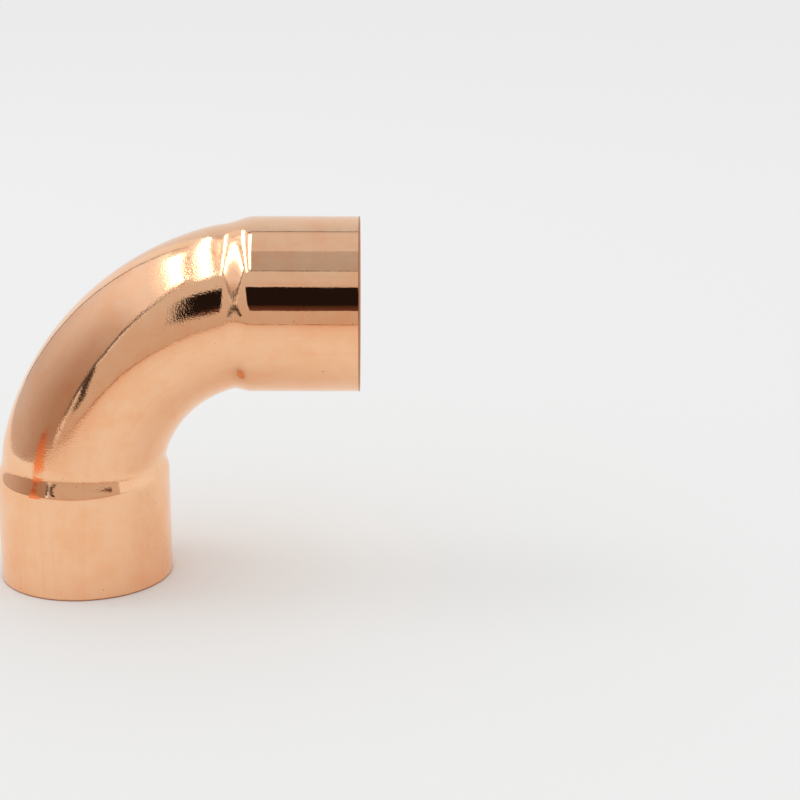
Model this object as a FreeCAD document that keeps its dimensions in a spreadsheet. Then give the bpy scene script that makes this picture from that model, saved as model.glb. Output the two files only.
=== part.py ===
"""A 90 degree copper elbow with a solder cup on each end, formed from one piece of tube.

The frame has its origin at the centre of the lower mouth. +Z runs up the lower cup's axis, and the side
cup opens along +X. The XZ plane halves the elbow, and its two arms mirror each other.
"""

import FreeCAD, Part
import math
import os

from FreeCAD import Placement, Rotation, Vector
from Sketcher import Constraint

# Driving dimensions in millimetres and degrees. Each is a cell of the sheet, under its alias.
DIMENSIONS = {
    "pipe_diameter": (34.93, "outside of the tube that solders into a cup"),
    "solder_gap": (0.12, "cup bore less tube, on the diameter"),
    "wall": (1.10, "wall of the cups and of the bend"),
    "cup_depth": (23.5, "straight depth of a cup's bore, down to where the tube stops"),
    "cone_lag": (0.2, "how much later the outside starts to narrow than the bore does"),
    "cone_length": (3.9, "along the cup's axis, from a cup to the bend"),
    "cone_drop": (1.175, "how far a cone comes in, on the radius"),
    "cone_turn": (11.2, "angle between a cup's axis and the bend's where they meet"),
    "cone_round": (3.0, "outside edges at both ends of a cone"),
    "bend_radius": (41.1, "centreline of the bend"),
    "flattening": (1.7, "how much thinner the bend is at its crown, in its own plane"),
    "rim_bevel": (0.25, "both edges of a mouth"),
}

# Expressions on the sheet. A cone's end lies to one side of the cup's axis, on a chord that leans by half
# of the turn. The two cup axes cross as high above the lower mouth as they cross behind the side mouth.
LEAN = "Dimensions.cone_turn * 1deg"
CUP_DIAMETER = "(Dimensions.pipe_diameter + Dimensions.solder_gap + 2 * Dimensions.wall)"
CUP_LENGTH = "(Dimensions.cup_depth + Dimensions.cone_lag)"
BEND_DIAMETER = f"({CUP_DIAMETER} - 2 * Dimensions.cone_drop)"
NECK_X = f"Dimensions.cone_length * tan({LEAN} / 2)"
NECK_Z = f"({CUP_LENGTH} + Dimensions.cone_length)"
CENTRE_X = f"({NECK_X} + Dimensions.bend_radius * cos({LEAN}))"
CENTRE_Z = f"({NECK_Z} - Dimensions.bend_radius * sin({LEAN}))"
CROSSING = f"({CENTRE_X} + {CENTRE_Z})"
FAR_NECK_X = f"{CROSSING} - {NECK_Z}"
FAR_NECK_Z = f"{CROSSING} - {NECK_X}"
CROWN_X = f"{CENTRE_X} - Dimensions.bend_radius * sin(45deg)"
CROWN_Z = f"{CENTRE_Z} + Dimensions.bend_radius * sin(45deg)"

# Vertex numbers in a sketch's constraints, the sketch's own origin, and an ellipse's exposed axes.
START = 1
END = 2
CENTRE = 3
ORIGIN = -1
MAJOR_AXIS = 1
MINOR_AXIS = 2

SOLID = ("PartDesign::AdditivePipe", "PartDesign::AdditiveLoft", "PartDesign::Pad")
HOLLOW = ("PartDesign::SubtractivePipe", "PartDesign::SubtractiveLoft", "PartDesign::Pocket")


def make_sheet(doc):
    """The sheet of driving dimensions."""
    sheet = doc.addObject("Spreadsheet::Sheet", "Dimensions")
    for row, (alias, (value, meaning)) in enumerate(DIMENSIONS.items(), start=1):
        sheet.set(f"A{row}", meaning)
        sheet.set(f"B{row}", str(value))
        sheet.setAlias(f"B{row}", alias)
    doc.recompute()


def number(feature, expression):
    """What an expression comes to now."""
    return float(feature.evalExpression(expression))


def new_on_plane(body, kind, name, role="XY_Plane", x="0", z="0", lean=None):
    """A sketch or a datum plane on an origin plane of the body, moved and leant by expressions."""
    feature = body.newObject(kind, name)
    plane = next(p for p in body.Origin.OriginFeatures if p.Role == role)
    feature.AttachmentSupport = [(plane, "")]
    feature.MapMode = "FlatFace"
    if lean:
        feature.AttachmentOffset = Placement(Vector(), Rotation(Vector(0, 1, 0), 1))
        feature.setExpression("AttachmentOffset.Rotation.Angle", lean)
    feature.setExpression("AttachmentOffset.Base.x", x)
    feature.setExpression("AttachmentOffset.Base.z", z)
    return feature


def bind(sketch, kind, *places, to):
    """A dimension of a sketch, tied to an expression on the sheet."""
    index = sketch.addConstraint(Constraint(kind, *places, number(sketch, to)))
    sketch.setExpression(f"Constraints[{index}]", to)


def circle(body, name, diameter, **place):
    """A circle about its sketch's own origin."""
    sketch = new_on_plane(body, "Sketcher::SketchObject", name, **place)
    sketch.addGeometry(Part.Circle(Vector(), Vector(0, 0, 1), number(sketch, diameter) / 2))
    sketch.addConstraint(Constraint("Coincident", 0, CENTRE, ORIGIN, START))
    bind(sketch, "Diameter", 0, to=diameter)
    return sketch


def oval(body, name, width, thickness, **place):
    """An ellipse about its sketch's own origin: the width lies across the bend, the thickness in it."""
    sketch = new_on_plane(body, "Sketcher::SketchObject", name, **place)
    widest = Vector(0, number(sketch, width) / 2, 0)
    thinnest = Vector(number(sketch, thickness) / 2, 0, 0)
    sketch.addGeometry(Part.Ellipse(widest, thinnest, Vector()))
    sketch.exposeInternalGeometry(0)
    sketch.addConstraint(Constraint("Coincident", 0, CENTRE, ORIGIN, START))
    sketch.addConstraint(Constraint("Vertical", MAJOR_AXIS))
    bind(sketch, "Distance", MAJOR_AXIS, to=width)
    bind(sketch, "Distance", MINOR_AXIS, to=thickness)
    return sketch


def bend_line(body):
    """The bend's centreline, from one neck to the other."""
    sketch = new_on_plane(body, "Sketcher::SketchObject", "BendLine", role="XZ_Plane")
    centre = Vector(number(sketch, CENTRE_X), number(sketch, CENTRE_Z), 0)
    radius = number(sketch, "Dimensions.bend_radius")
    lean = math.radians(number(sketch, "Dimensions.cone_turn"))
    whole = Part.Circle(centre, Vector(0, 0, 1), radius)
    sketch.addGeometry(Part.ArcOfCircle(whole, math.pi / 2 + lean, math.pi - lean))
    bind(sketch, "DistanceX", ORIGIN, START, 0, END, to=NECK_X)
    bind(sketch, "DistanceY", ORIGIN, START, 0, END, to=NECK_Z)
    bind(sketch, "DistanceX", ORIGIN, START, 0, START, to=FAR_NECK_X)
    bind(sketch, "DistanceY", ORIGIN, START, 0, START, to=FAR_NECK_Z)
    bind(sketch, "Radius", 0, to="Dimensions.bend_radius")
    return sketch


def run_of_tube(body, name, features, line, middle, inset, straight):
    """The run from mouth to mouth, added or cut away, its surface set in from the outside."""
    bend_feature, cone_feature, cup_feature = features
    cup_diameter = f"{CUP_DIAMETER} - 2 * {inset}"
    bend_diameter = f"{BEND_DIAMETER} - 2 * {inset}"
    thickness = f"{bend_diameter} - Dimensions.flattening"
    crown_place = {"x": CROWN_X, "z": CROWN_Z, "lean": "45deg"}
    far_place = {"x": FAR_NECK_X, "z": FAR_NECK_Z, "lean": "90deg"}
    neck = circle(body, f"{name}Neck", bend_diameter, x=NECK_X, z=NECK_Z)
    crown = oval(body, f"{name}Crown", bend_diameter, thickness, **crown_place)
    far_neck = circle(body, f"{name}FarNeck", bend_diameter, **far_place)
    cup_end = circle(body, f"{name}CupEnd", cup_diameter, z=straight)
    mouth = circle(body, f"{name}Mouth", cup_diameter)

    bend = body.newObject(bend_feature, f"{name}Bend")
    bend.Profile = neck
    bend.Spine = (line, [])
    bend.Sections = [crown, far_neck]
    bend.Transformation = "Multisection"

    cone = body.newObject(cone_feature, f"{name}Cone")
    cone.Profile = cup_end
    cone.Sections = [neck]

    cup = body.newObject(cup_feature, f"{name}Cup")
    cup.Profile = mouth
    cup.setExpression("Length", straight)
    cup.Reversed = features is HOLLOW

    arms = body.newObject("PartDesign::Mirrored", f"{name}Arms")
    arms.Originals = [cone, cup]
    arms.MirrorPlane = (middle, [""])
    body.Tip = arms
    body.Document.recompute()
    return arms


def mouth_edges(shape):
    """The circles around a mouth's flat face."""
    flat = [face for face in shape.Faces if isinstance(face.Surface, Part.Plane)]
    return [edge for face in flat for edge in face.Edges]


def ring_names(shape, at_mouth):
    """Names of the edges that run round the tube, either those of the mouths or all the others."""
    mouths = mouth_edges(shape)
    names = []
    for index, edge in enumerate(shape.Edges, start=1):
        leaves_middle = edge.BoundBox.YLength > 1
        is_mouth = any(edge.isSame(mouth) for mouth in mouths)
        if leaves_middle and is_mouth == at_mouth:
            names.append(f"Edge{index}")
    return names


def dress(body, feature, name, base, at_mouth, size, alias):
    """A fillet or chamfer on rings of the base, its size tied to the sheet."""
    dressed = body.newObject(feature, name)
    dressed.Base = (base, ring_names(base.Shape, at_mouth))
    dressed.setExpression(size, f"Dimensions.{alias}")
    body.Document.recompute()
    return dressed


def make_elbow(doc):
    """The elbow: the outside, rounded at both ends of its cones, then the bore and the rims."""
    body = doc.addObject("PartDesign::Body", "elbow_body")
    body.Label = "elbow_body"
    middle = new_on_plane(body, "PartDesign::Plane", "Middle", z=CROSSING, lean="45deg")
    line = bend_line(body)
    outside = run_of_tube(body, "Outside", SOLID, line, middle, "0", CUP_LENGTH)
    dress(body, "PartDesign::Fillet", "ConeRounds", outside, False, "Radius", "cone_round")
    solid_volume = body.Shape.Volume
    bore = run_of_tube(body, "Bore", HOLLOW, line, middle, "Dimensions.wall", "Dimensions.cup_depth")
    dress(body, "PartDesign::Chamfer", "RimBevels", bore, True, "Size", "rim_bevel")
    if body.Shape.Volume > solid_volume / 2:
        raise RuntimeError("the bore cut too little away")
    body.Placement = Placement()
    return body


def check(doc, bodies):
    """Stop on a failed feature or an unsound shape."""
    for feature in doc.Objects:
        if {"Invalid", "Error"} & set(feature.State):
            raise RuntimeError(f"{feature.Label} failed")
    for body in bodies:
        if body.Shape.isNull() or not body.Shape.isValid() or len(body.Shape.Solids) != 1:
            raise RuntimeError(f"{body.Label} is not one sound solid")


def main():
    doc = FreeCAD.newDocument("PipeElbow")
    make_sheet(doc)
    bodies = [make_elbow(doc)]
    doc.recompute()
    check(doc, bodies)
    os.makedirs("parts", exist_ok=True)
    for body in bodies:
        body.Shape.exportStep(f"parts/{body.Label}.step")
        print(body.Label, round(body.Shape.Volume), "mm3")


main()
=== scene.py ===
import math

import bpy
from mathutils import Matrix, Vector


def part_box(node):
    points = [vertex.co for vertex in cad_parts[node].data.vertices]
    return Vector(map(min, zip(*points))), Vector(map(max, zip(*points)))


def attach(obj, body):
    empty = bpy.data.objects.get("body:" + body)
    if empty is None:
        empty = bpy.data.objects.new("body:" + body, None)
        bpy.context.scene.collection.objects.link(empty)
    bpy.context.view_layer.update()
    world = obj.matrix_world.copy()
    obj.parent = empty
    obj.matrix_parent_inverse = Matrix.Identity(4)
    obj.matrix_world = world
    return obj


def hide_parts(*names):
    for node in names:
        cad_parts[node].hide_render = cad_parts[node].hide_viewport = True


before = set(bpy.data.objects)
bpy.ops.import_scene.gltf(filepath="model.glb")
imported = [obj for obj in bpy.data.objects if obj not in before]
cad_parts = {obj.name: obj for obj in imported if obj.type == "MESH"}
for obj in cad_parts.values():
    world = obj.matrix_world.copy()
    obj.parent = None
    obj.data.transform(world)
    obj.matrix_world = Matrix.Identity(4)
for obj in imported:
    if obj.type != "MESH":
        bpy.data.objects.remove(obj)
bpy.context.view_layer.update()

print("frame loaded")


class Wire:
    # one socket of a node tree, so that maths reads as an expression
    def __init__(self, net, socket):
        self.net = net
        self.socket = socket

    def of(self, name):
        # another output of the same node
        return Wire(self.net, self.socket.node.outputs[name])

    def __add__(self, other):
        return self.net.maths("ADD", self, other)

    def __radd__(self, other):
        return self.net.maths("ADD", other, self)

    def __sub__(self, other):
        return self.net.maths("SUBTRACT", self, other)

    def __rsub__(self, other):
        return self.net.maths("SUBTRACT", other, self)

    def __mul__(self, other):
        return self.net.maths("MULTIPLY", self, other)

    def __rmul__(self, other):
        return self.net.maths("MULTIPLY", other, self)

    def __truediv__(self, other):
        return self.net.maths("DIVIDE", self, other)

    def __rtruediv__(self, other):
        return self.net.maths("DIVIDE", other, self)


class Net:
    def __init__(self, tree):
        self.tree = tree

    def add(self, kind, settings=None, values=None, output=0):
        # settings come first, because some of them change the sockets
        node = self.tree.nodes.new(kind)
        for name, value in (settings or {}).items():
            setattr(node, name, value)
        for name, value in (values or {}).items():
            if isinstance(value, Wire):
                self.tree.links.new(value.socket, node.inputs[name])
            else:
                node.inputs[name].default_value = value
        return Wire(self, node.outputs[output]) if node.outputs else node

    def maths(self, operation, *values):
        return self.add("ShaderNodeMath", {"operation": operation}, dict(enumerate(values)))

    def clamp(self, value, low, high):
        return self.maths("MINIMUM", self.maths("MAXIMUM", value, low), high)

    def ramp(self, value, start, end):
        # 0 before start, 1 after end
        return self.clamp((value - start) / (end - start), 0.0, 1.0)

    def soft(self, value, start, end):
        x = self.ramp(value, start, end)
        return x * x * (3.0 - 2.0 * x)

    def mixed(self, factor, first, second):
        # sockets 6 and 7 are the node's two colours, and output 2 its colour
        return self.add("ShaderNodeMix", {"data_type": "RGBA"},
                        {0: factor, 6: first, 7: second}, 2)

    def noise(self, place, scale, detail=2.0, roughness=0.5, distortion=0.0):
        return self.add("ShaderNodeTexNoise", None, {
            "Vector": place, "Scale": scale, "Detail": detail,
            "Roughness": roughness, "Distortion": distortion})


def emptyMaterial(name):
    material = bpy.data.materials.new(name)
    material.use_nodes = True
    material.node_tree.nodes.clear()
    return material, Net(material.node_tree)


lookout = {
    "place": (0.06225, -0.35426, 0.14101),
    "pitch": 16.05,  # degrees below the horizon
    "yaw": 1.08,
    "roll": 0.36,
    "lens": 76.68,
    "sensor": 36.0,
    "clip": (0.01, 50.0),
}


def makeCamera():
    data = bpy.data.cameras.new("camera")
    data.sensor_width = lookout["sensor"]
    data.lens = lookout["lens"]
    data.clip_start, data.clip_end = lookout["clip"]
    camera = bpy.data.objects.new("camera", data)
    turn = (Matrix.Rotation(math.radians(-lookout["yaw"]), 4, "Z")
            @ Matrix.Rotation(math.radians(90.0 - lookout["pitch"]), 4, "X")
            @ Matrix.Rotation(math.radians(lookout["roll"]), 4, "Z"))
    camera.matrix_world = Matrix.Translation(Vector(lookout["place"])) @ turn
    bpy.context.collection.objects.link(camera)
    bpy.context.scene.camera = camera


makeCamera()
print("camera placed")


# the elbow's tube, all lengths in metres
elbow = {
    "wall": 0.0011,
    "cupStraight": 0.0235,    # straight part of a cup, from its mouth
    "shoulderArc": 0.0042,    # centreline length over which the cup turns into the bend
    "shoulderTurn": 11.7,     # degrees turned over that length
    "shoulderStart": 0.0219,  # where the cup's outside begins to round over, from its mouth
    "firstLength": 0.0050,    # length of the lower shoulder, measured on the surface itself
    "secondLength": 0.0066,   # and of the other one, which was pressed harder
    "insideLength": 0.0036,   # both are shorter and start later on the inside of the bend
    "firstDrop": 0.00080,     # how much the radius drops at the sides of the lower shoulder
    "secondDrop": 0.00142,
    "planeDrop": 0.00125,     # and in the plane of the bend
    "flattening": 0.035,      # the bend is this much thinner in its own plane at the crown
    "crownShift": 0.00025,    # and lies this much nearer the inside there
    "rimBevel": 0.00025,
    "rings": 340,
    "outerShare": 0.62,       # share of the rings that lie outside
    "sides": 176,
    "ringSpread": (0.07, 0.1, 0.22, 0.66),  # where lip, rise, cup and shoulder end, by ring
    "rise": 0.0012,           # finely divided stretch behind a rim
    "beforeShoulder": 0.0022,
    "pastShoulder": 0.0050,   # the fine rings run this far to each side of the shoulder
    "waviness": 0.00002,
    "rippleScale": 95.0,
    "rippleWidth": 0.018,
    "rippleShift": 0.08,      # keeps the two ends' ripples apart
    "seed": 4.0,
}
hair = 1e-5          # keeps a comparison off its border
weldDistance = 1e-6


def makeTubeTree(cupRadius, face, copper):
    turn = math.radians(elbow["shoulderTurn"])
    shoulderRadius = elbow["shoulderArc"] / turn
    bendRadius = ((face - elbow["cupStraight"]
                   - shoulderRadius * (1 - math.cos(turn) + math.sin(turn)))
                  / (math.cos(turn) - math.sin(turn)))
    sizes = {
        "Cup Radius": cupRadius,
        "Face Distance": face,
        "Cup Straight": elbow["cupStraight"],
        "Shoulder Arc": elbow["shoulderArc"],
        "Shoulder Radius": shoulderRadius,
        "Shoulder Start": elbow["shoulderStart"],
        "First Length": elbow["firstLength"],
        "Second Length": elbow["secondLength"],
        "Inside Length": elbow["insideLength"],
        "First Drop": elbow["firstDrop"],
        "Second Drop": elbow["secondDrop"],
        "Plane Drop": elbow["planeDrop"],
        "Bend Radius": bendRadius,
        "Flattening": elbow["flattening"],
        "Crown Shift": elbow["crownShift"],
        "Wall": elbow["wall"],
        "Rim Bevel": elbow["rimBevel"],
        "Outer Share": elbow["outerShare"],
        "Waviness": elbow["waviness"],
        "Seed": elbow["seed"],
    }
    counts = {"Rings": elbow["rings"], "Sides": elbow["sides"]}

    tree = bpy.data.node_groups.new("formedTube", "GeometryNodeTree")
    sockets = tree.interface
    for way in ("INPUT", "OUTPUT"):
        sockets.new_socket("Geometry", in_out=way, socket_type="NodeSocketGeometry")
    inputs = {}
    for values, kind in ((sizes, "NodeSocketFloat"), (counts, "NodeSocketInt")):
        for name, value in values.items():
            socket = sockets.new_socket(name, in_out="INPUT", socket_type=kind)
            inputs[socket.identifier] = value

    net = Net(tree)
    given = net.add("NodeGroupInput").of

    grid = net.add("GeometryNodeMeshGrid", None, {
        "Size X": 1.0, "Size Y": 1.0,
        "Vertices X": given("Rings") + 1.0, "Vertices Y": given("Sides") + 1.0})
    split = net.add("ShaderNodeSeparateXYZ", None, {
        "Vector": net.add("GeometryNodeInputPosition")})
    loop = split.of("X") + 0.5                     # once round the wall's section
    around = (split.of("Y") + 0.5) * (2 * math.pi)

    # out along the outside from one mouth to the other, and back along the inside
    share = given("Outer Share")
    inner = net.maths("GREATER_THAN", loop, share + hair)
    outward = loop / share
    back = (1.0 - loop) / (1.0 - share)
    run = outward + (back - outward) * inner
    second = net.maths("GREATER_THAN", run, 0.5 + hair)
    near = 1.0 - net.maths("ABSOLUTE", 2.0 * run - 1.0)  # 0 at a mouth, 1 at the middle

    # distance along the profile, with most rings where the shape changes
    bevel = given("Rim Bevel")
    lip = given("Wall") * 0.5 - bevel
    cup = given("Cup Straight")
    shoulder = given("Shoulder Arc")
    turned = shoulder / given("Shoulder Radius")
    halfBend = (math.pi / 4 - turned) * given("Bend Radius")
    lipLength = lip + bevel * (math.pi / 2)
    rise, before, past = elbow["rise"], elbow["beforeShoulder"], elbow["pastShoulder"]
    lipEnd, riseEnd, cupEnd, shoulderEnd = elbow["ringSpread"]
    profile = (net.ramp(near, 0.0, lipEnd) * lipLength
               + net.ramp(near, lipEnd, riseEnd) * rise
               + net.ramp(near, riseEnd, cupEnd) * (cup - bevel - rise - before)
               + net.ramp(near, cupEnd, shoulderEnd) * (shoulder + past + before)
               + net.ramp(near, shoulderEnd, 1.0) * (halfBend - past))
    corner = net.clamp((profile - lip) / bevel, 0.0, math.pi / 2)
    along = (bevel * (1.0 - net.maths("COSINE", corner))
             + net.maths("MAXIMUM", profile - lipLength, 0.0))
    depth = (lip - net.maths("MINIMUM", profile, lip)
             + bevel * (1.0 - net.maths("SINE", corner)))

    # centreline
    inShoulder = net.clamp(along - cup, 0.0, shoulder)
    inBend = net.maths("MAXIMUM", along - cup - shoulder, 0.0)
    firstTurn = inShoulder / given("Shoulder Radius")
    fullTurn = firstTurn + inBend / given("Bend Radius")
    firstCosine, firstSine = net.maths("COSINE", firstTurn), net.maths("SINE", firstTurn)
    fullCosine, fullSine = net.maths("COSINE", fullTurn), net.maths("SINE", fullTurn)
    centreX = (given("Shoulder Radius") * (1.0 - firstCosine)
               + given("Bend Radius") * (firstCosine - fullCosine))
    centreZ = (net.maths("MINIMUM", along, cup)
               + given("Shoulder Radius") * firstSine
               + given("Bend Radius") * (fullSine - firstSine))

    # radius, which falls over the same surface length all round
    facing = net.maths("COSINE", around)
    aside = net.maths("SINE", around)
    bent = net.maths("SINE", (inBend / halfBend) * (math.pi / 2))
    spread = (given("Second Drop") - given("First Drop")) * (0.5 + (second - 0.5) * (1.0 - bent))
    sideDrop = given("First Drop") + spread
    drop = sideDrop + (given("Plane Drop") - sideDrop) * facing * facing
    neck = given("Cup Radius") - drop
    inward = net.maths("MAXIMUM", facing, 0.0)
    insideOf = inward * inward
    start = given("Shoulder Start") + (cup - given("Shoulder Start")) * insideOf
    length = given("First Length") + (given("Second Length") - given("First Length")) * second
    onSurface = (net.maths("MINIMUM", along, cup) - start
                 + inShoulder * (1.0 - facing * neck / given("Shoulder Radius"))
                 + inBend * (1.0 - facing * neck / given("Bend Radius")))
    length = length - (length - given("Inside Length")) * insideOf
    fall = net.soft(onSurface, 0.0, length)
    width = elbow["rippleWidth"]
    ripple = net.add("ShaderNodeTexNoise", {"noise_dimensions": "4D"}, {
        "Vector": net.add("ShaderNodeCombineXYZ", None, {
            0: centreX + facing * width, 1: aside * width,
            2: centreZ + second * elbow["rippleShift"]}),
        "W": given("Seed"), "Scale": elbow["rippleScale"], "Detail": 1.0})
    radius = (given("Cup Radius") - drop * fall
              + (ripple - 0.5) * given("Waviness") * fall
              - depth - (given("Wall") - 2.0 * depth) * inner)
    inPlane = (radius * facing * (1.0 - given("Flattening") * bent)
               + given("Crown Shift") * bent)
    firstX = centreX + inPlane * fullCosine
    firstZ = centreZ - inPlane * fullSine
    mouthPlane = given("Face Distance")  # the second half mirrors the first
    place = net.add("ShaderNodeCombineXYZ", None, {
        0: firstX + second * (mouthPlane - firstZ - firstX),
        1: radius * aside,
        2: firstZ + second * (mouthPlane - firstX - firstZ)})

    # the tube unrolled, for patterns that follow it
    whole = 2.0 * (cup + shoulder + halfBend)
    sleeve = net.add("ShaderNodeCombineXYZ", None, {
        0: facing * given("Cup Radius"), 1: aside * given("Cup Radius"),
        2: along + second * (whole - 2.0 * along)})

    made = grid
    for name, kind, value in (("sleeve", "FLOAT_VECTOR", sleeve), ("bore", "FLOAT", inner),
                              ("formed", "FLOAT", fall), ("mouth", "FLOAT", along)):
        made = net.add("GeometryNodeStoreNamedAttribute",
                       {"data_type": kind, "domain": "POINT"},
                       {"Geometry": made, "Name": name, "Value": value})
    made = net.add("GeometryNodeSetPosition", None, {"Geometry": made, "Position": place})
    made = net.add("GeometryNodeMergeByDistance", None,
                   {"Geometry": made, "Distance": weldDistance})
    made = net.add("GeometryNodeFlipFaces", None, {"Mesh": made})
    made = net.add("GeometryNodeSetShadeSmooth", None, {"Geometry": made, "Shade Smooth": True})
    made = net.add("GeometryNodeRealizeInstances", None, {"Geometry": made})
    made = net.add("GeometryNodeSetMaterial", None, {"Geometry": made, "Material": copper})
    net.add("NodeGroupOutput", None, {0: made})
    return tree, inputs


def makeElbow(copper):
    low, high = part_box("elbow_body")
    tree, inputs = makeTubeTree((high.y - low.y) / 2, high.x, copper)
    holder = bpy.data.objects.new("holder", bpy.data.meshes.new("seed"))
    bpy.context.collection.objects.link(holder)
    modifier = holder.modifiers.new("formedTube", "NODES")
    modifier.node_group = tree
    for identifier, value in inputs.items():
        modifier[identifier] = value
    view = bpy.context.evaluated_depsgraph_get()
    mesh = bpy.data.meshes.new_from_object(
        holder.evaluated_get(view), preserve_all_data_layers=True, depsgraph=view)
    mesh.name = "copperElbow"
    holder.modifiers.remove(modifier)
    bpy.data.objects.remove(holder)
    piece = bpy.data.objects.new("copperElbow", mesh)
    bpy.context.collection.objects.link(piece)
    return piece


finish = {
    "fresh": (1.0, 0.60, 0.36, 1.0),
    "warm": (0.98, 0.47, 0.235, 1.0),
    "pale": (1.0, 0.66, 0.45, 1.0),
    "worn": (0.86, 0.40, 0.21, 1.0),
    # painted shade: the darker colour given to the shaded rims
    "shadedRim": (0.50, 0.19, 0.09, 1.0),
    "speck": (0.42, 0.19, 0.11, 1.0),
    "bore": (0.95, 0.54, 0.34, 1.0),
    # how strongly each pattern colours the metal
    "blush": 0.42,
    "clouds": 0.3,
    "warmMottle": 0.32,
    "paleMottle": 0.30,
    "specks": 0.55,
    "streaks": 0.35,
    "wear": 0.15,
    # how strongly the painted shade darkens the rims
    "rimShadeShare": 0.9,
    # how fine each pattern is
    "stretch": 0.035,  # lines are this much coarser along the tube
    "fineScale": 5200.0,
    "broadScale": 900.0,
    "streakScale": 420.0,
    "grainScale": 2600.0,
    "speckScale": 1100.0,
    "mottleScale": 340.0,
    "dentScale": 180.0,
    "hazeScale": 110.0,
    "cloudScale": 45.0,
    # roughness
    "polish": 0.022,   # of the clean outside
    "smudge": 0.05,    # added by handling
    "fineRough": 0.03,
    "speckRough": 0.12,
    "mottleRough": 0.02,
    "boreRough": (0.22, 0.1),
    "cutRough": 0.3,
    "roughLimits": (0.03, 0.6),
    "boreDull": 0.3,   # the bore is this much less metallic
    # heights, in metres
    "drawLines": 0.000002,
    "grain": 0.0000105,
    "grainEnd": (0.034, 0.047),  # the coarse grain fades over this distance from a mouth
    "dents": 0.00004,
    "rim": (0.00024, 0.0004),    # the rim's painted shade and its rougher cut edge fade over this distance from a mouth
}


def makeCopper():
    material, net = emptyMaterial("drawnCopper")

    def stored(name, output):
        return net.add("ShaderNodeAttribute", {"attribute_name": name}, None, output)

    place = net.add("ShaderNodeTexCoord").of("Object")
    sleeve = stored("sleeve", "Vector")
    bore = stored("bore", "Fac")
    formed = stored("formed", "Fac")
    mouth = stored("mouth", "Fac")

    # lines left by the drawing die run along the tube
    drawn = net.add("ShaderNodeMapping", None, {
        "Vector": sleeve, "Scale": (1.0, 1.0, finish["stretch"])})
    fineLines = net.noise(drawn, finish["fineScale"], 3.0, 0.6)
    broadLines = net.noise(drawn, finish["broadScale"], 2.0, 0.5)
    streaks = net.noise(drawn, finish["streakScale"], 3.0, 0.65)
    grain = net.noise(place, finish["grainScale"], 2.0, 0.55)
    dents = net.noise(place, finish["dentScale"], 1.0, 0.4)
    cloud = net.noise(place, finish["cloudScale"], 4.0, 0.6, 0.6)
    haze = net.noise(place, finish["hazeScale"], 3.0, 0.55, 0.3)
    mottle = net.noise(place, finish["mottleScale"], 4.0, 0.62, 0.4)
    specks = net.soft(net.noise(place, finish["speckScale"], 1.0, 0.5), 0.765, 0.83)
    smudge = net.soft(cloud, 0.48, 0.72)
    # the rims, darkened by painted shade and rougher where cut
    shadedRim = 1.0 - net.ramp(mouth, *finish["rim"])

    # each layer lies over the ones before it
    colour = finish["fresh"]
    for amount, layer in (
            (net.soft(haze, 0.40, 0.72) * finish["blush"], "warm"),
            (net.soft(cloud, 0.55, 0.8) * finish["clouds"], "pale"),
            (net.soft(mottle, 0.46, 0.74) * finish["warmMottle"], "warm"),
            (net.soft(1.0 - mottle, 0.52, 0.76) * finish["paleMottle"], "pale"),
            (specks * finish["specks"], "speck"),
            (net.soft(streaks, 0.52, 0.78) * finish["streaks"], "warm"),
            (net.soft(broadLines, 0.58, 0.80) * finish["wear"], "worn"),
            (bore * (0.75 + 0.25 * haze), "bore"),
            # painted shade along the rims
            (shadedRim * finish["rimShadeShare"], "shadedRim")):
        colour = net.mixed(amount, colour, finish[layer])

    boreBase, boreHaze = finish["boreRough"]
    rough = (finish["polish"]
             + finish["smudge"] * smudge * (0.5 + 0.5 * grain)
             + finish["fineRough"] * net.soft(fineLines, 0.5, 0.8)
             + finish["speckRough"] * specks
             + finish["mottleRough"] * net.soft(mottle, 0.5, 0.7)
             + bore * (boreBase + boreHaze * haze)
             + shadedRim * finish["cutRough"])

    # formed metal is coarser, most of all at the shoulders
    coarse = formed * (1.0 - 0.8 * net.soft(mouth, *finish["grainEnd"]))
    height = ((fineLines - 0.5) * finish["drawLines"]
              + (grain - 0.5) * finish["grain"] * (0.2 + 1.4 * coarse)
              + (dents - 0.5) * finish["dents"] * (0.15 + 0.85 * formed))
    bump = net.add("ShaderNodeBump", None, {
        "Strength": 1.0, "Distance": 1.0, "Height": height})

    shader = net.add("ShaderNodeBsdfPrincipled", None, {
        "Base Color": colour, "Metallic": 1.0 - finish["boreDull"] * bore,
        "Roughness": net.clamp(rough, *finish["roughLimits"]), "Normal": bump})
    net.add("ShaderNodeOutputMaterial", None, {"Surface": shader})
    return material


piece = makeElbow(makeCopper())
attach(piece, "root")
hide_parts("elbow_body")
print("elbow made,", len(piece.data.polygons), "faces")


studio = {
    "floor": (0.94, 0.94, 0.937, 1.0),
    "floorReach": 60.0,
    "world": (0.875, 0.883, 0.879, 1.0),
    "key": 0.9,            # watts
    "keyPlace": (-0.75, 0.10, 1.0),
    "keyAim": (0.02, 0.0, 0.04),
    "keySize": 0.45,
    "left": -0.275,        # the tent's left side, roof, back and open front
    "roof": 0.95,
    "back": 0.42,
    "front": -0.36,
    "gapLift": 0.002,      # gaps lie this far inside the front
    "tableTop": 0.0006,    # mirrored table, just above the floor
    "sparkle": (2.2, 2.2, 2.2, 1.0),
    "sparkleShare": 0.8,
    "nearKept": 0.88,      # a panel's near tint is this much weaker at its top
}
left, roof, front = studio["left"], studio["roof"], studio["front"]
back, tableTop = studio["back"], studio["tableTop"]

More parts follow.
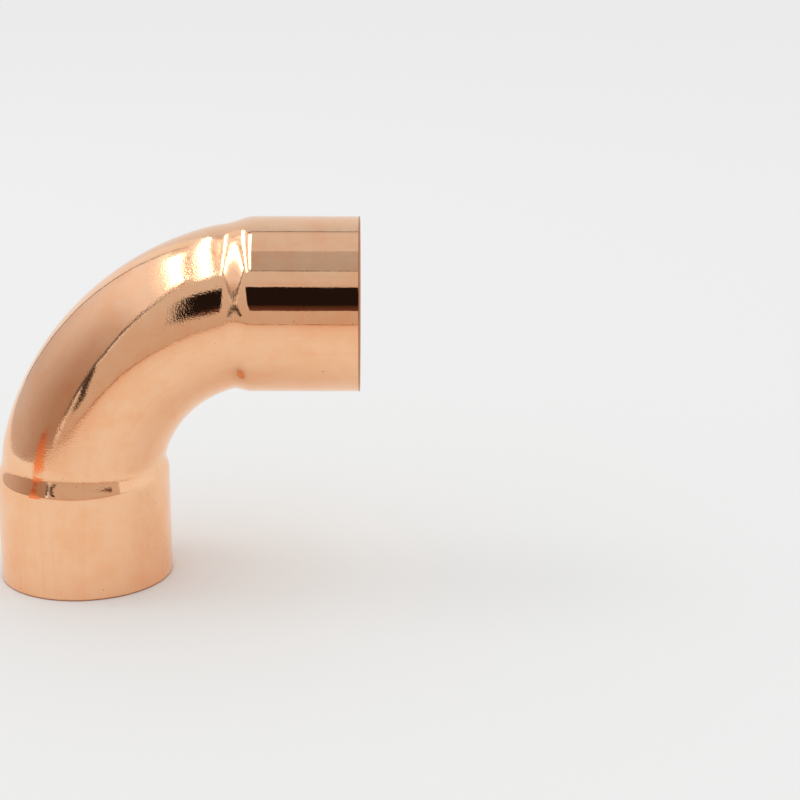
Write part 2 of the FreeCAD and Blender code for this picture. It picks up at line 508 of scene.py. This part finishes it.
# What the polished metal mirrors: the white cloth tent round the table, its seams and its
# open front. Each panel lies across one axis at a distance, and its shade fades from its
# lower or near edge to the other.
panels = [
    {"name": "leftCloth", "axis": "x", "at": left, "along": (-0.315, 0.345), "up": (0.0, 0.43),
     "fade": (0.10, 0.36), "shade": (0.60, 0.57, 0.58), "to": (0.92, 0.92, 0.97),
     "near": (0.40, 0.29, 0.235), "nearReach": (0.16, -0.20)},
    {"name": "leftWarm", "axis": "x", "at": left, "along": (-0.315, 0.345), "up": (0.43, 0.51),
     "shade": (0.94, 0.95, 1.0), "to": (1.60, 1.55, 1.50)},
    {"name": "leftGlow", "axis": "x", "at": left, "along": (-0.29, 0.22), "up": (0.51, 0.59),
     "shade": (4.5, 4.5, 4.4), "to": (5.0, 5.0, 4.9)},
    {"name": "leftBeside", "axis": "x", "at": left, "along": (0.22, 0.345), "up": (0.51, 0.59),
     "shade": (0.86, 0.87, 0.9), "to": (0.9, 0.9, 0.92)},
    {"name": "leftSeam", "axis": "x", "at": left, "along": (-0.33, 0.37), "up": (0.59, 0.725),
     "shade": (0.55, 0.53, 0.56), "to": (0.62, 0.61, 0.64), "speckle": 42.0},
    {"name": "leftTop", "axis": "x", "at": left, "along": (-0.60, 0.60), "up": (0.725, 0.86),
     "shade": (5.0, 5.0, 4.9)},
    {"name": "leftRoofSeam", "axis": "x", "at": left, "along": (-0.25, 0.60), "up": (0.86, 0.95),
     "shade": (0.60, 0.58, 0.62), "to": (0.66, 0.65, 0.68), "speckle": 42.0},
    {"name": "frontPole", "axis": "x", "at": left, "along": (-0.345, -0.315), "up": (0.04, 0.60),
     "shade": (0.10, 0.09, 0.09), "to": (0.30, 0.28, 0.28)},
    {"name": "rearPole", "axis": "x", "at": left, "along": (0.345, 0.37), "up": (0.02, 0.62),
     "shade": (0.12, 0.11, 0.11), "to": (0.30, 0.28, 0.28)},
    {"name": "roofNear", "axis": "z", "at": roof, "across": (-0.08, 0.60), "along": (-0.60, -0.095),
     "shade": (0.46, 0.47, 0.49), "to": (0.50, 0.50, 0.52)},
    {"name": "roofFar", "axis": "z", "at": roof, "across": (-0.08, 0.60), "along": (-0.095, 0.525),
     "shade": (0.68, 0.69, 0.73), "to": (0.70, 0.71, 0.75)},
    {"name": "roofGlow", "axis": "z", "at": roof, "across": (-0.20, -0.08), "along": (-0.55, 0.60),
     "shade": (3.5, 3.5, 3.4)},
    {"name": "roofDim", "axis": "z", "at": roof, "across": (left, -0.20), "along": (-0.25, 0.60),
     "shade": (0.62, 0.60, 0.64), "to": (0.66, 0.65, 0.68), "speckle": 42.0},
    {"name": "nearSeam", "axis": "z", "at": roof, "across": (-0.15, 0.60), "along": (-0.64, -0.60),
     "shade": (0.10, 0.08, 0.08), "to": (0.30, 0.28, 0.28)},
    {"name": "farSeam", "axis": "y", "at": back, "across": (-0.18, 0.60), "up": (0.765, 0.815),
     "shade": (0.30, 0.29, 0.30), "to": (0.22, 0.21, 0.22)},
    {"name": "farTop", "axis": "y", "at": back, "across": (-0.18, 0.60), "up": (0.815, 0.95),
     "shade": (0.62, 0.63, 0.66), "to": (0.69, 0.70, 0.74)},
    {"name": "frontLow", "axis": "y", "at": front, "across": (left, 0.50), "up": (0.0, 0.40),
     "shade": (0.60, 0.51, 0.45), "to": (0.66, 0.65, 0.65)},
    {"name": "frontHigh", "axis": "y", "at": front, "across": (left, 0.50), "up": (0.40, 0.57),
     "shade": (0.66, 0.65, 0.65), "to": (0.66, 0.66, 0.66)},
    {"name": "backCloth", "axis": "y", "at": back, "across": (-0.18, 0.60), "up": (0.0, 0.765),
     "shade": (0.86, 0.87, 0.88), "to": (0.62, 0.68, 0.74)},
    {"name": "tableNear", "axis": "z", "at": tableTop, "across": (-0.60, 0.60),
     "along": (-0.25, -0.03), "shade": (0.72, 0.55, 0.45), "to": (0.83, 0.78, 0.74),
     "clear": True},
    {"name": "tableFront", "axis": "z", "at": tableTop, "across": (-0.60, 0.60),
     "along": (-0.36, -0.25), "shade": (0.60, 0.51, 0.45)},
]
# The dark room seen through the open front, the strut beside it and the table's edge, as
# corners on a plane that faces along Y at "depth", or along X at "side".
gaps = [
    {"name": "openFront", "shade": (0.014, 0.010, 0.009),
     "corners": ((-0.075, 0.125), (0.34, 0.135), (0.34, 0.285), (-0.155, 0.31))},
    {"name": "openLow", "shade": (0.14, 0.06, 0.036), "to": (0.02, 0.012, 0.010),
     "fade": (0.086, 0.140),
     "corners": ((-0.02, 0.086), (0.34, 0.086), (0.34, 0.135), (-0.075, 0.125))},
    {"name": "strut", "shade": (0.07, 0.05, 0.045),
     "corners": ((-0.225, 0.03), (-0.185, 0.03), (-0.30, 0.16), (-0.345, 0.16))},
    {"name": "tableEdge", "shade": (0.36, 0.14, 0.08), "depth": -0.25,
     "corners": ((-0.60, 0.0), (0.60, 0.0), (0.60, 0.004), (-0.60, 0.004))},
    {"name": "warmPiece", "shade": (0.86, 0.40, 0.22), "to": (0.42, 0.13, 0.06),
     "fade": (0.012, 0.036), "side": -0.11,
     "corners": ((-0.112, 0.001), (-0.058, 0.001), (-0.066, 0.038), (-0.084, 0.038))},
]


def makeGlow(panel, axis, reach):
    shade = (*panel["shade"], 1.0)
    to = (*panel.get("to", panel["shade"]), 1.0)
    material, net = emptyMaterial(panel["name"])
    place = net.add("ShaderNodeTexCoord").of("Object")
    split = net.add("ShaderNodeSeparateXYZ", None, {"Vector": place})
    way = net.ramp(split.of(axis), *reach)
    colour = net.mixed(way, shade, to)
    if "near" in panel:
        dim = net.soft(split.of("Y"), *panel["nearReach"]) * (1.0 - studio["nearKept"] * way)
        colour = net.mixed(dim, colour, (*panel["near"], 1.0))
    if "speckle" in panel:
        grains = net.soft(net.noise(place, panel["speckle"], 1.0), 0.50, 0.62)
        colour = net.mixed(grains * studio["sparkleShare"], colour, studio["sparkle"])
    glow = net.add("ShaderNodeEmission", None, {"Color": colour, "Strength": 1.0})
    if "clear" in panel:
        # fades out towards its far edge, so that no border shows
        glow = net.add("ShaderNodeMixShader", None, {
            0: way, 1: glow, 2: net.add("ShaderNodeBsdfTransparent")})
    net.add("ShaderNodeOutputMaterial", None, {"Surface": glow})
    return material


def makePlate(name, corners, material):
    mesh = bpy.data.meshes.new(name)
    mesh.from_pydata(corners, [], [(0, 1, 2, 3)])
    mesh.materials.append(material)
    plate = bpy.data.objects.new(name, mesh)
    bpy.context.collection.objects.link(plate)
    return plate


def makeCard(name, corners, material):
    card = makePlate(name, corners, material)
    card.visible_camera = False
    card.visible_shadow = False
    card.visible_diffuse = False


def makeSurroundings():
    for panel in panels:
        at, axis = panel["at"], panel["axis"]
        if axis == "x":
            (y0, y1), (z0, z1) = panel["along"], panel["up"]
            corners = [(at, y0, z0), (at, y1, z0), (at, y1, z1), (at, y0, z1)]
        elif axis == "y":
            (x0, x1), (z0, z1) = panel["across"], panel["up"]
            corners = [(x0, at, z0), (x1, at, z0), (x1, at, z1), (x0, at, z1)]
        else:
            (x0, x1), (y0, y1) = panel["across"], panel["along"]
            corners = [(x0, y0, at), (x1, y0, at), (x1, y1, at), (x0, y1, at)]
        if axis == "z":
            glow = makeGlow(panel, "Y", panel["along"])
        else:
            glow = makeGlow(panel, "Z", panel.get("fade", panel["up"]))
        makeCard(panel["name"], corners, glow)
    for gap in gaps:
        if "side" in gap:
            corners = [(gap["side"], y, z) for y, z in gap["corners"]]
        else:
            depth = gap.get("depth", front + studio["gapLift"])
            corners = [(x, depth, z) for x, z in gap["corners"]]
        makeCard(gap["name"], corners, makeGlow(gap, "Z", gap.get("fade", (0.0, 1.0))))


def makeFloor():
    reach = studio["floorReach"]
    material, net = emptyMaterial("paleTable")
    shader = net.add("ShaderNodeBsdfDiffuse", None, {"Color": studio["floor"]})
    net.add("ShaderNodeOutputMaterial", None, {"Surface": shader})
    corners = [(-reach, -reach, 0), (reach, -reach, 0), (reach, reach, 0), (-reach, reach, 0)]
    makePlate("floor", corners, material)


def makeLight():
    world = bpy.data.worlds.new("paleRoom")
    world.use_nodes = True
    world.node_tree.nodes.clear()
    net = Net(world.node_tree)
    sky = net.add("ShaderNodeBackground", None, {"Color": studio["world"], "Strength": 1.0})
    net.add("ShaderNodeOutputWorld", None, {"Surface": sky})
    bpy.context.scene.world = world
    data = bpy.data.lights.new("key", "AREA")
    data.energy = studio["key"]
    data.size = studio["keySize"]
    key = bpy.data.objects.new("key", data)
    key.location = studio["keyPlace"]
    aim = Vector(studio["keyAim"]) - key.location
    key.rotation_euler = aim.to_track_quat("-Z", "Y").to_euler()
    key.visible_glossy = False
    bpy.context.collection.objects.link(key)


makeSurroundings()
makeFloor()
makeLight()
bpy.context.scene.view_settings.view_transform = "Standard"
print("studio made")
